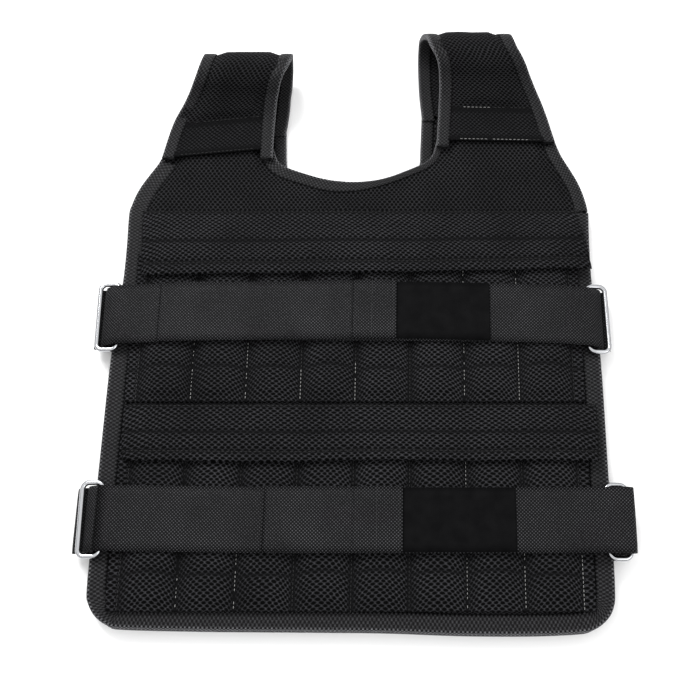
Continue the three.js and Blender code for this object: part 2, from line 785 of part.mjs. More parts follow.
// A wire ring with round corners: its long bars run along the vest, its inner bar is held by the tab
// and its outer bar lies lower, beyond the vest's edge.
function ring(side, barX, height) {
  const inner = new THREE.Vector3(barX - ringSpan, 0, innerBarZ);
  const outer = new THREE.Vector3(barX, 0, outerBarZ);
  const out = outer.clone().sub(inner).normalize();
  const long = (beltWidth + 2 * ringPlay + wireDiameter) / 2;
  const short = outer.distanceTo(inner) / 2;
  const middle = outer.clone().add(inner).multiplyScalar(0.5);
  const shape = [];
  for (let corner = 0; corner < 4; corner++) {
    const [u, v] = [[1, 1], [-1, 1], [-1, -1], [1, -1]][corner];
    for (let i = 0; i <= bendSteps; i++) {
      const angle = (corner + i / bendSteps) * (Math.PI / 2);
      const x = u * (short - ringCorner) + ringCorner * Math.cos(angle);
      const y = v * (long - ringCorner) + ringCorner * Math.sin(angle);
      shape.push({ x, y, normal: new THREE.Vector2(Math.cos(angle), Math.sin(angle)) });
    }
  }
  const rings = shape.map(({ x, y, normal }) =>
    Array.from({ length: wireSides }, (_, i) => {
      const angle = (i / wireSides) * Math.PI * 2;
      const across = (wireDiameter / 2) * Math.cos(angle);
      const lift = (wireDiameter / 2) * Math.sin(angle);
      const level = x + normal.x * across;
      return new THREE.Vector3(
        side * (middle.x + out.x * level - out.z * lift),
        height + y + normal.y * across,
        middle.z + out.z * level + out.x * lift,
      );
    }),
  );
  return loft(rings);
}

// Short webbing folded round the ring's inner bar and sewn to the front panel's edge.
function ringTab(side, edge, reach, height) {
  const barX = edge + reach - ringSpan;
  const turn = wireDiameter / 2 + clearance + tabThickness / 2;
  const sewn = edge - tabLength;
  const lowLayer = rowFloor + seamThickness + clearance + tabThickness / 2;
  const highLayer = lowLayer + tabThickness + clearance;
  const path = [
    { x: sewn, z: highLayer },
    { x: sewn + tabLength / 5, z: highLayer },
  ];
  for (let i = 0; i <= tabSteps; i++) {
    const angle = Math.PI / 2 - (i / tabSteps) * tabWrap;
    path.push({ x: barX + turn * Math.cos(angle), z: innerBarZ + turn * Math.sin(angle) });
  }
  path.push({ x: barX - turn - 2 * tabThickness, z: lowLayer }, { x: sewn, z: lowLayer });
  return strip(path, side, height, beltWidth - 2 * tabInset, tabThickness);
}

// The vest stands on its lowest point, centred on the origin.
const box = new THREE.Box3().setFromObject(vest);
const middle = box.getCenter(new THREE.Vector3());
vest.position.set(-middle.x, -middle.y, -box.min.z);

const part = new THREE.Group();
part.add(vest);

export default part;
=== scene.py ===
import json
import math
import random

import bmesh
import bpy
from mathutils import Matrix, Vector, noise

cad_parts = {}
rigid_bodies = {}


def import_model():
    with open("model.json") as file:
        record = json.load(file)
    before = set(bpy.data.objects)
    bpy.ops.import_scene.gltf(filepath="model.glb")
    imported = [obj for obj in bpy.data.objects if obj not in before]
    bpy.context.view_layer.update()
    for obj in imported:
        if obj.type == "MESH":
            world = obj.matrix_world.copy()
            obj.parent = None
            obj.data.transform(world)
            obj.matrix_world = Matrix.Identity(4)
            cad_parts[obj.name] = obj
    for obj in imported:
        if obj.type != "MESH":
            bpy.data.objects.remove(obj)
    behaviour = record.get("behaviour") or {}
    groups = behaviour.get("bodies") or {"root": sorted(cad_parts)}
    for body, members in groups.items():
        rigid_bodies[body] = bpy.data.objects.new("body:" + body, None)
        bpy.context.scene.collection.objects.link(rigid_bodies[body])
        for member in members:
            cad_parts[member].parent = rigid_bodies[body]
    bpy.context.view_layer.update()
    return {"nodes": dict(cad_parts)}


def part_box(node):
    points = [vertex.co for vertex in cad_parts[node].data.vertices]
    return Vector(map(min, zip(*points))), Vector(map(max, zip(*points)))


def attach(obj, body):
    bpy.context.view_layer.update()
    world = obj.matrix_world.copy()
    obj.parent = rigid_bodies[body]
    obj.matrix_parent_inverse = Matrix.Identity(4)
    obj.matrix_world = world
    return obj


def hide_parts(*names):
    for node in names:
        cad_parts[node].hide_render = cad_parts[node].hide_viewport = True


for leftOver in list(bpy.data.objects):
    bpy.data.objects.remove(leftOver, do_unlink=True)

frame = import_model()
mm = 0.001

# Camera

shot = {
    "aim": (-2.3, -28.8, 0),  # mm, the point in the middle of the picture
    "distance": 910,  # mm
    "tilt": 70,  # degrees above the floor, from the hem's side
    "lens": 57.24,  # mm on a 36 mm sensor
}


def setCamera():
    lens = bpy.data.cameras.new("camera")
    lens.lens = shot["lens"]
    lens.sensor_width = 36
    holder = bpy.data.objects.new("camera", lens)
    tilt = math.radians(shot["tilt"])
    aim = Vector(shot["aim"]) * mm
    away = Vector((0, -math.cos(tilt), math.sin(tilt)))
    holder.location = aim + away * shot["distance"] * mm
    holder.rotation_euler = (-away).to_track_quat("-Z", "Y").to_euler()
    bpy.context.collection.objects.link(holder)
    bpy.context.scene.camera = holder


# Studio: a white sweep of paper under large soft lamps

studio = {
    "floorWidth": 6,  # m
    "paper": "#ffffff",
    # a dark room stands low round the lit space overhead and shows in the chrome; the stops are the
    # height of a direction, 0 level and 1 straight up
    "sky": [(0.32, "#161618"), (0.42, "#ffffff")],
    "world": 1.24,
    "lamps": [
        {"name": "topLamp", "place": (-0.7, 1.2, 1.6), "size": 0.9, "watts": 34},
        {"name": "sideLamp", "place": (1.3, -0.9, 1.5), "size": 1.4, "watts": 8},
    ],
}


def srgb(code):
    parts = [int(code[i : i + 2], 16) / 255 for i in (1, 3, 5)]
    linear = [p / 12.92 if p <= 0.04045 else ((p + 0.055) / 1.055) ** 2.4 for p in parts]
    return (*linear, 1)


# Adds a node, sets its fields, feeds its inputs from numbers or other outputs and gives an output back.
def addNode(tree, kind, inputs=None, out=0, stops=None, **fields):
    node = tree.nodes.new(kind)
    for name, value in fields.items():
        setattr(node, name, value)
    for key, source in (inputs or {}).items():
        if isinstance(source, bpy.types.NodeSocket):
            tree.links.new(source, node.inputs[key])
        else:
            node.inputs[key].default_value = source
    for i, (place, code) in enumerate(stops or []):
        ramp = node.color_ramp.elements
        stop = ramp[i] if i < len(ramp) else ramp.new(place)
        stop.position = place
        stop.color = srgb(code)
    return node.outputs[out]


def newMaterial(name, **settings):
    material = bpy.data.materials.new(name)
    material.use_nodes = True
    tree = material.node_tree
    shader = tree.nodes["Principled BSDF"]
    for key, value in settings.items():
        shader.inputs[key].default_value = value
    return material, tree, shader


def setStudio():
    material, tree, shader = newMaterial("paintedPaper", Roughness=0.9)
    shader.inputs["Base Color"].default_value = srgb(studio["paper"])
    shader.inputs["Specular IOR Level"].default_value = 0.1
    bm = bmesh.new()
    bmesh.ops.create_grid(bm, x_segments=2, y_segments=2, size=studio["floorWidth"] / 2)
    floor = finishPiece("floor", bm, material, smooth=False)
    world = bpy.data.worlds.new("studio")
    world.use_nodes = True
    backdrop = world.node_tree.nodes["Background"]
    toSky = addNode(world.node_tree, "ShaderNodeTexCoord")
    height = addNode(world.node_tree, "ShaderNodeSeparateXYZ", {0: toSky}, out=2)
    sky = addNode(world.node_tree, "ShaderNodeValToRGB", {0: height}, stops=studio["sky"])
    world.node_tree.links.new(sky, backdrop.inputs["Color"])
    backdrop.inputs["Strength"].default_value = studio["world"]
    bpy.context.scene.world = world
    for lamp in studio["lamps"]:
        light = bpy.data.lights.new(lamp["name"], "AREA")
        light.shape = "DISK"
        light.size = lamp["size"]
        light.energy = lamp["watts"]
        holder = bpy.data.objects.new(lamp["name"], light)
        holder.location = lamp["place"]
        holder.rotation_euler = (-holder.location).to_track_quat("-Z", "Y").to_euler()
        bpy.context.collection.objects.link(holder)
    look = bpy.context.scene.view_settings
    look.view_transform = "Standard"
    look.look = "None"


def finishPiece(name, bm, material, smooth=True):
    mesh = bpy.data.meshes.new(name)
    bm.to_mesh(mesh)
    bm.free()
    mesh.materials.append(material)
    for face in mesh.polygons:
        face.use_smooth = smooth
    piece = bpy.data.objects.new(name, mesh)
    bpy.context.collection.objects.link(piece)
    return piece


# Puts the mesh that the modifiers make in place of the piece's own.
def applyModifiers(piece):
    shown = piece.evaluated_get(bpy.context.evaluated_depsgraph_get())
    mesh = bpy.data.meshes.new_from_object(shown)
    piece.modifiers.clear()
    piece.data = mesh


def smoothstep(low, high, value):
    t = min(1, max(0, (value - low) / (high - low)))
    return t * t * (3 - 2 * t)


def wave(x, y, seed, size):
    return noise.noise(Vector((x / size, y / size, seed * 7.3)))


# Materials

# Polyester air mesh: knitted with rows of oval holes over dark foam, so it reads as grey netting
# over black, dull and a little furry. Its map counts holes across and rows up, so each piece sets how
# far its knit is stretched. Over the pockets it is drawn tight, with lighter strands and wider holes.
airMeshLook = {
    "strand": {"slack": "#323234", "tight": "#434346"},
    "strandDim": "#121214",
    "hole": "#010101",
    "pressed": "#0b0b0c",  # where the knit is squeezed flat in a seam; on the pockets and flaps it also carries painted shade by seams, in creases and grooves and over one side of each pocket
    "holeWide": {"slack": 0.27, "tight": 0.29},  # of the pitch, half of a hole
    "holeTall": {"slack": 0.42, "tight": 0.46},  # of a row
    "relief": 0.5,  # mm
    "fuzz": 0.6,  # mm
    "cloud": 45,  # mm
    "drift": 14,  # mm over which the rows wander
    "swing": 0.9,  # of a hole, how far they wander
}


def airMesh(stretch):
    look = airMeshLook
    material, tree, shader = newMaterial(stretch + "AirMesh", Roughness=0.82)
    shader.inputs["Specular IOR Level"].default_value = 0.05
    cloth = addNode(tree, "ShaderNodeUVMap", uv_map="cloth")
    place = addNode(tree, "ShaderNodeTexCoord", out=3)
    fields = {"Vector": place, "Scale": 1 / (look["drift"] * mm), "Detail": 1.0}
    drift = addNode(tree, "ShaderNodeTexNoise", fields, out=1)
    wander = addNode(tree, "ShaderNodeVectorMath", {0: drift, 1: (0.5, 0.5, 0.5)}, operation="SUBTRACT")
    swing = addNode(tree, "ShaderNodeVectorMath", {0: wander, "Scale": look["swing"]}, operation="SCALE")
    moved = addNode(tree, "ShaderNodeVectorMath", {0: cloth, 1: swing}, operation="ADD")
    across = addNode(tree, "ShaderNodeSeparateXYZ", {0: moved}, out=0)
    along = addNode(tree, "ShaderNodeSeparateXYZ", {0: moved}, out=1)
    nearU = addNode(tree, "ShaderNodeMath", {0: across, 1: 0.5}, operation="PINGPONG")
    nearV = addNode(tree, "ShaderNodeMath", {0: along, 1: 1.0}, operation="PINGPONG")
    size = (1 / look["holeWide"][stretch], 1 / look["holeTall"][stretch], 0)
    own = addNode(tree, "ShaderNodeCombineXYZ", {0: nearU, 1: nearV})
    other = addNode(tree, "ShaderNodeVectorMath", {0: (0.5, 1, 0), 1: own}, operation="SUBTRACT")
    ownScaled = addNode(tree, "ShaderNodeVectorMath", {0: own, 1: size}, operation="MULTIPLY")
    otherScaled = addNode(tree, "ShaderNodeVectorMath", {0: other, 1: size}, operation="MULTIPLY")
    ownFar = addNode(tree, "ShaderNodeVectorMath", {0: ownScaled}, out=1, operation="LENGTH")
    otherFar = addNode(tree, "ShaderNodeVectorMath", {0: otherScaled}, out=1, operation="LENGTH")
    nearest = addNode(tree, "ShaderNodeMath", {0: ownFar, 1: otherFar}, operation="MINIMUM")
    fields = {"Value": nearest, "From Min": 0.8, "From Max": 1.7}
    knit = addNode(tree, "ShaderNodeMapRange", fields, interpolation_type="SMOOTHSTEP")
    fuzz = addNode(
        tree, "ShaderNodeTexNoise", {"Vector": place, "Scale": 1 / (look["fuzz"] * mm), "Detail": 2.0},
    )
    cloud = addNode(
        tree, "ShaderNodeTexNoise", {"Vector": place, "Scale": 1 / (look["cloud"] * mm), "Detail": 2.0},
    )
    mild = addNode(tree, "ShaderNodeMath", {0: cloud, 1: 0.35}, operation="MULTIPLY")
    tone = addNode(tree, "ShaderNodeMath", {0: fuzz, 1: mild}, operation="ADD")
    spread = addNode(tree, "ShaderNodeMapRange", {"Value": tone, "From Min": 0.42, "From Max": 0.95})
    threads = addNode(
        tree, "ShaderNodeMix",
        {0: spread, 6: srgb(look["strandDim"]), 7: srgb(look["strand"][stretch])}, out=2, data_type="RGBA",
    )
    open_ = addNode(
        tree, "ShaderNodeMix", {0: knit, 6: srgb(look["hole"]), 7: threads}, out=2, data_type="RGBA",
    )
    # the pressed attribute darkens squeezed seams, and on pockets and flaps paints shade by seams, in creases
    # and grooves and over the left part of each pocket
    pressed = addNode(tree, "ShaderNodeAttribute", out=2, attribute_name="pressed")
    colour = addNode(
        tree, "ShaderNodeMix", {0: pressed, 6: open_, 7: srgb(look["pressed"])}, out=2, data_type="RGBA",
    )
    tree.links.new(colour, shader.inputs["Base Color"])
    fuzzy = addNode(tree, "ShaderNodeMath", {0: fuzz, 1: 0.3, 2: knit}, operation="MULTIPLY_ADD")
    bump = addNode(
        tree, "ShaderNodeBump", {"Height": fuzzy, "Distance": look["relief"] * mm, "Strength": 0.8},
    )
    tree.links.new(bump, shader.inputs["Normal"])
    return material


# Polyester webbing: flat woven, a fine checker of raised floats with a faint sheen on their crowns.
webbingLook = {
    "crown": "#59595c",
    "gap": "#030304",
    "cell": 1.35,  # mm, drawn a little coarser than the real weave so that it shows
    "relief": 0.35,  # mm
}


def webbing():
    look = webbingLook
    material, tree, shader = newMaterial("wovenWebbing", Roughness=0.62)
    shader.inputs["Specular IOR Level"].default_value = 0.1
    cloth = addNode(tree, "ShaderNodeUVMap", uv_map="cloth")
    along = addNode(tree, "ShaderNodeSeparateXYZ", {0: cloth}, out=0)
    across = addNode(tree, "ShaderNodeSeparateXYZ", {0: cloth}, out=1)
    turn = math.pi / look["cell"]
    phaseU = addNode(tree, "ShaderNodeMath", {0: along, 1: turn}, operation="MULTIPLY")
    phaseV = addNode(tree, "ShaderNodeMath", {0: across, 1: turn}, operation="MULTIPLY")
    swellU = addNode(tree, "ShaderNodeMath", {0: phaseU}, operation="SINE")
    swellV = addNode(tree, "ShaderNodeMath", {0: phaseV}, operation="SINE")
    checker = addNode(tree, "ShaderNodeMath", {0: swellU, 1: swellV}, operation="MULTIPLY")
    fields = {"Value": checker, "From Min": -0.1, "From Max": 1.0}
    weave = addNode(tree, "ShaderNodeMapRange", fields, interpolation_type="SMOOTHSTEP")
    fuzz = addNode(tree, "ShaderNodeTexNoise", {"Vector": cloth, "Scale": 1.3, "Detail": 2.0})
    patches = addNode(tree, "ShaderNodeTexNoise", {"Vector": cloth, "Scale": 0.02, "Detail": 2.0})
    mild = addNode(tree, "ShaderNodeMath", {0: patches, 1: 0.4}, operation="MULTIPLY")
    tone = addNode(tree, "ShaderNodeMath", {0: fuzz, 1: mild}, operation="ADD")
    spread = addNode(tree, "ShaderNodeMapRange", {"Value": tone, "From Min": 0.42, "From Max": 0.95})
    level = addNode(tree, "ShaderNodeMath", {0: weave, 1: spread}, operation="MULTIPLY")
    colour = addNode(
        tree, "ShaderNodeMix",
        {0: level, 6: srgb(look["gap"]), 7: srgb(look["crown"])}, out=2, data_type="RGBA",
    )
    tree.links.new(colour, shader.inputs["Base Color"])
    bump = addNode(
        tree, "ShaderNodeBump", {"Height": weave, "Distance": look["relief"] * mm, "Strength": 0.8},
    )
    tree.links.new(bump, shader.inputs["Normal"])
    return material


# Woven binding tape: a coarse plain weave of small beads, with a painted sheen that makes the fold along each
# edge a bright band.
tapeLook = {
    # rib is the beads' colour where the painted sheen on the fold is full
    "rib": "#a4a4a8",
    "gap": "#050506",
    "cell": 1.6,  # mm
    "relief": 0.35,  # mm
    "fold": 13.6,  # mm round the section to the middle of the fold
    "flats": 0.135,  # how bright the flat sides are against the fold, which carries a painted sheen
}


def bindingTape():
    look = tapeLook
    material, tree, shader = newMaterial("wovenBindingTape", Roughness=0.6)
    shader.inputs["Specular IOR Level"].default_value = 0.1
    cloth = addNode(tree, "ShaderNodeUVMap", uv_map="cloth")
    along = addNode(tree, "ShaderNodeSeparateXYZ", {0: cloth}, out=0)
    across = addNode(tree, "ShaderNodeSeparateXYZ", {0: cloth}, out=1)
    turn = math.pi / look["cell"]
    phaseU = addNode(tree, "ShaderNodeMath", {0: along, 1: turn}, operation="MULTIPLY")
    phaseV = addNode(tree, "ShaderNodeMath", {0: across, 1: turn}, operation="MULTIPLY")
    swellU = addNode(tree, "ShaderNodeMath", {0: phaseU}, operation="SINE")
    swellV = addNode(tree, "ShaderNodeMath", {0: phaseV}, operation="SINE")
    checker = addNode(tree, "ShaderNodeMath", {0: swellU, 1: swellV}, operation="MULTIPLY")
    fields = {"Value": checker, "From Min": -0.5, "From Max": 0.7}
    rib = addNode(tree, "ShaderNodeMapRange", fields, interpolation_type="SMOOTHSTEP")
    fuzz = addNode(tree, "ShaderNodeTexNoise", {"Vector": cloth, "Scale": 1.1, "Detail": 3.0})
    fields = {"Value": fuzz, "From Min": 0.25, "From Max": 0.75}
    worn = addNode(tree, "ShaderNodeMapRange", fields)
    shade = addNode(tree, "ShaderNodeMath", {0: rib, 1: worn}, operation="MULTIPLY")
    # painted sheen: the beads are brightest at the fold and dim to the flats' share over its sides
    fold = addNode(tree, "ShaderNodeMath", {0: across, 1: look["fold"]}, operation="SUBTRACT")
    away = addNode(tree, "ShaderNodeMath", {0: fold}, operation="ABSOLUTE")
    fields = {"Value": away, "From Min": 2.5, "From Max": 6, "To Min": 1, "To Max": look["flats"]}
    foldSheen = addNode(tree, "ShaderNodeMapRange", fields)
    level = addNode(tree, "ShaderNodeMath", {0: shade, 1: foldSheen}, operation="MULTIPLY")
    colour = addNode(
        tree, "ShaderNodeMix",
        {0: level, 6: srgb(look["gap"]), 7: srgb(look["rib"])}, out=2, data_type="RGBA",
    )
    tree.links.new(colour, shader.inputs["Base Color"])
    bump = addNode(
        tree, "ShaderNodeBump", {"Height": rib, "Distance": look["relief"] * mm, "Strength": 0.7},
    )
    tree.links.new(bump, shader.inputs["Normal"])
    return material


# Nylon hook tape: a smooth ground with close rows of stubby hooks, matte and even.
hookLook = {"ground": "#050506", "tips": "#0b0b0c", "step": 1.4, "relief": 0.2}  # step and relief in mm


def hookTape():
    look = hookLook
    material, tree, shader = newMaterial("nylonHookTape", Roughness=0.7)
    shader.inputs["Specular IOR Level"].default_value = 0.05
    cloth = addNode(tree, "ShaderNodeUVMap", uv_map="cloth")
    dots = addNode(
        tree, "ShaderNodeTexVoronoi",
        {"Vector": cloth, "Scale": 1 / look["step"], "Randomness": 0.25}, voronoi_dimensions="2D",
    )
    smudge = addNode(tree, "ShaderNodeTexNoise", {"Vector": cloth, "Scale": 0.08, "Detail": 3.0})
    fields = {"Value": smudge, "From Min": 0.35, "From Max": 0.7}
    cloud = addNode(tree, "ShaderNodeMapRange", fields)
    colour = addNode(
        tree, "ShaderNodeMix",
        {0: cloud, 6: srgb(look["ground"]), 7: srgb(look["tips"])}, out=2, data_type="RGBA",
    )
    tree.links.new(colour, shader.inputs["Base Color"])
    bump = addNode(
        tree, "ShaderNodeBump", {"Height": dots, "Distance": look["relief"] * mm, "Strength": 0.4},
    )
    tree.links.new(bump, shader.inputs["Normal"])
    return material


# Chrome plated steel wire: a bright mirror with fine hairline scratches.
def chromeWire():
    material, tree, shader = newMaterial("chromePlatedSteel", Metallic=1.0)
    shader.inputs["Base Color"].default_value = srgb("#b6b7ba")
    place = addNode(tree, "ShaderNodeTexCoord", out=3)
    hairs = addNode(tree, "ShaderNodeTexNoise", {"Vector": place, "Scale": 900.0, "Detail": 2.0})
    dull = addNode(tree, "ShaderNodeMapRange", {"Value": hairs, "To Min": 0.06, "To Max": 0.2})
    tree.links.new(dull, shader.inputs["Roughness"])
    return material


# Polyester sewing thread, twisted and slightly glossy.
def sewingThread(name, code):
    material, tree, shader = newMaterial(name, Roughness=0.5)
    place = addNode(tree, "ShaderNodeTexCoord", out=3)
    twist = addNode(tree, "ShaderNodeTexNoise", {"Vector": place, "Scale": 1500.0})
    colour = addNode(
        tree, "ShaderNodeMix", {0: twist, 6: srgb("#0b0b0c"), 7: srgb(code)}, out=2, data_type="RGBA",
    )
    tree.links.new(colour, shader.inputs["Base Color"])
    return material


setCamera()
setStudio()
meshCloth = airMesh("slack")
tightCloth = airMesh("tight")
webbingCloth = webbing()
tapeCloth = bindingTape()
hookCloth = hookTape()
wireMetal = chromeWire()
blackThread = sewingThread("blackThread", "#1a1a1b")
paleThread = sewingThread("paleThread", "#a8a8a6")
print("camera, studio and materials ready")


# Reading the frame: bands of the CAD pieces are walls of short, equal edges, called rungs here

def mergedCopy(node):
    bm = bmesh.new()
    bm.from_mesh(frame["nodes"][node].data)
    bmesh.ops.remove_doubles(bm, verts=bm.verts, dist=0.02 * mm)
    return bm


def rungWay(edge):
    return (edge.verts[1].co - edge.verts[0].co).normalized()


# Chains of rungs of one length, each rung as its two ends with the upper one first where the run starts.
# facing keeps only rungs of faces that look along that axis. A chain goes on to the rung that turns
# least, since an edge along the band can have the length of a rung too.
def rungChains(bm, length, facing=None):
    def turned(edge):
        return facing is None or any(abs(f.normal[facing]) > 0.7 for f in edge.link_faces)

    rungs = [e for e in bm.edges if abs(e.calc_length() - length * mm) < 0.03 * mm and turned(e)]
    owner = {vert: edge for edge in rungs for vert in edge.verts}
    beside = {edge: set() for edge in rungs}
    for edge in bm.edges:
        a, b = (owner.get(vert) for vert in edge.verts)
        if a and b and a != b and turned(edge):
            beside[a].add(b)
            beside[b].add(a)
    chains = []
    ends = [edge for edge in rungs if len(beside[edge]) == 1]
    ends.sort(key=lambda edge: -max(vert.co.z for vert in edge.verts))
    for start in ends:
        if any(start in chain for chain in chains):
            continue
        chain = [start]
        while ahead := [e for e in beside[chain[-1]] if e not in chain]:
            way = rungWay(chain[-1])
            chain.append(max(ahead, key=lambda e: abs(rungWay(e).dot(way))))
        chains.append(chain)
    runs = []
    for chain in chains:
        pairs = []
        for edge in chain:
            top, low = (vert.co.copy() for vert in edge.verts)
            before = pairs[-1][0] - pairs[-1][1] if pairs else Vector((0, 0, 1))
            if (top - low).dot(before) < 0:
                top, low = low, top
            pairs.append((top, low))
        runs.append(pairs)
    return runs


# Rows of middle, half width and way up for a band between two chains of rungs.
def bandRows(node, length, facing):
    bm = mergedCopy(node)
    first, second = rungChains(bm, length, facing)[:2]
    bm.free()
    turned = second[::-1]
    apart = [sum((p[0] - q[0]).length for p, q in zip(first, other)) for other in (second, turned)]
    if apart[1] < apart[0]:
        second = turned
        if (second[0][0] - second[0][1]).dot(first[0][0] - first[0][1]) < 0:
            second = [(low, top) for top, low in second]
    other = 1 if facing == 1 else 0
    if first[0][0][other] > second[0][0][other]:
        first, second = second, first
    rows = []
    for (topA, lowA), (topB, lowB) in zip(first, second):
        a, b = (topA + lowA) / 2, (topB + lowB) / 2
        rows.append(((a + b) / 2, (b - a) / 2, (topA - lowA).normalized()))
    return rows


# Smooth stations at an even spacing along rows of vectors, the first of which is the place.
def resample(rows, spacing):
    count = len(rows)
    lengths = [0]
    for i in range(1, count):
        lengths.append(lengths[-1] + (rows[i][0] - rows[i - 1][0]).length)
    total = lengths[-1]
    steps = max(2, round(total / (spacing * mm)))
    out = []
    along = 0
    j = 0
    for k in range(steps + 1):
        at = total * k / steps
        while j < count - 2 and lengths[j + 1] < at:
            j += 1
        t = (at - lengths[j]) / max(lengths[j + 1] - lengths[j], 1e-9)
        a, b = rows[max(j - 1, 0)], rows[j]
        c, d = rows[j + 1], rows[min(j + 2, count - 1)]
        row = []
        for p, q, r, s in zip(a, b, c, d):
            curve = q * 2 + (r - p) * t + (p * 2 - q * 5 + r * 4 - s) * t * t
            row.append((curve + (q * 3 - p - r * 3 + s) * t * t * t) / 2)
        along += (row[0] - out[-1][1][0]).length if out else 0
        out.append((along, row))
    return out


# Sweeps a closed section along stations by extruding its edges. place(station, k) gives its k-th point
# and uvOf(stage, k) that point's place on the map.
def sweep(stations, count, place, uvOf):
    bm = bmesh.new()
    number = bm.verts.layers.int.new("number")
    stage = bm.verts.layers.int.new("stage")
    uv = bm.loops.layers.uv.new("cloth")
    verts = []
    for k in range(count):
        vert = bm.verts.new(place(stations[0], k))
        vert[number] = k
        verts.append(vert)
    edges = [bm.edges.new(pair) for pair in zip(verts, verts[1:] + verts[:1])]
    for i, station in enumerate(stations[1:], 1):
        made = bmesh.ops.extrude_edge_only(bm, edges=edges)["geom"]
        for item in made:
            if isinstance(item, bmesh.types.BMVert):
                item.co = place(station, item[number])
                item[stage] = i
        edges = [e for e in made if isinstance(e, bmesh.types.BMEdge) and all(v[stage] == i for v in e.verts)]
    for face in bm.faces:
        last = max(loop.vert[number] for loop in face.loops)
        for loop in face.loops:
            k = loop.vert[number]
            loop[uv].uv = uvOf(loop.vert[stage], count if k == 0 and last == count - 1 else k)
    ends = [e for e in bm.edges if e.is_boundary]
    bmesh.ops.holes_fill(bm, edges=ends, sides=0)
    bmesh.ops.recalc_face_normals(bm, faces=bm.faces)
    return bm


# Where the k-th point of a flat section stands, from -1 at one edge to 1 at the other, and whether it
# is on top. Half of the points are on top, and the rest come back below them.
def flatShare(k, count):
    half = count // 2
    top = k < half
    return (k if top else count - 1 - k) / (half - 1) * 2 - 1, top


# Gives a grid of cloth its map, from the holes counted at each corner, and its wall.
def clothSheet(name, bm, uv, holes, wall, offset):
    for face in bm.faces:
        for loop in face.loops:
            loop[uv].uv = holes[loop.vert]
    piece = finishPiece(name, bm, tightCloth)
    modifier = piece.modifiers.new("wall", "SOLIDIFY")
    modifier.thickness = wall * mm
    modifier.offset = offset
    applyModifiers(piece)
    return piece


# Thin line of stitches: one small bead for each, laid end to end along the line.
def stitchLine(name, lines, material, length=2.4, gap=1.1, width=0.5, lift=0.1, seed=1, skip=0.0):
    rng = random.Random(seed)
    bm = bmesh.new()
    aim = bm.verts.layers.float_vector.new("aim")
    for line in lines:
        rest = rng.random() * length * mm
        for a, b in zip(line, line[1:]):
            way = b - a
            if way.length < 1e-7:
                continue
            at = rest
            while at < way.length:
                if rng.random() >= skip:
                    vert = bm.verts.new(a + way.normalized() * at + Vector((0, 0, lift * mm)))
                    vert[aim] = way.normalized()
                at += (length + gap) * mm
            rest = at - way.length
    points = finishPiece(name, bm, material)
    group = bpy.data.node_groups.new(name, "GeometryNodeTree")
    group.interface.new_socket("Geometry", in_out="INPUT", socket_type="NodeSocketGeometry")
    group.interface.new_socket("Geometry", in_out="OUTPUT", socket_type="NodeSocketGeometry")
    start = addNode(group, "NodeGroupInput")
    fields = {"Segments": 6, "Rings": 4, "Radius": 0.5 * mm}
    bead = addNode(group, "GeometryNodeMeshUVSphere", fields)
    along = addNode(group, "GeometryNodeInputNamedAttribute", {0: "aim"}, data_type="FLOAT_VECTOR")
    turn = addNode(group, "FunctionNodeAlignRotationToVector", {"Vector": along}, axis="Z")
    laid = addNode(
        group, "GeometryNodeInstanceOnPoints",
        {"Points": start, "Instance": bead, "Rotation": turn, "Scale": (width, width, length)},
    )
    real = addNode(group, "GeometryNodeRealizeInstances", {0: laid})
    finish = addNode(group, "GeometryNodeSetMaterial", {"Geometry": real, "Material": material})
    group.links.new(finish, group.nodes.new("NodeGroupOutput").inputs[0])
    points.modifiers.new("beads", "NODES").node_group = group
    applyModifiers(points)
    return points


# Body panels: foam between two layers of air mesh

panelLook = {
    "knit": (3.85, 2.45),  # mm between holes and between rows
    "ripple": 0.5,  # mm
    "foot": 38,  # mm of each shoulder strap that lies on the chest
    "underStraps": 0.8,  # mm from the middle of a strap down to the panel it is sewn on
}
strapEdge = 2.4  # mm, thickness of a shoulder strap at its sewn edges
sweepSpacing = 2.5  # mm between the sections of a tape


# Height of the middle of the strap sewn over a spot of the chest, and how fully it covers the spot.
def strapOver(spot, feet):
    near, height = 1e9, 0
    for place, reach in feet:
        away = spot - place
        share = (away.x * reach.x + away.y * reach.y) / (reach.x ** 2 + reach.y ** 2)
        off = away - reach * share
        gap = math.hypot(off.x, off.y) / mm + max(0, abs(share) - 1) * reach.length / mm
        if gap < near:
            near, height = gap, place.z + reach.z * share
    return height, 1 - smoothstep(2, 7, near)


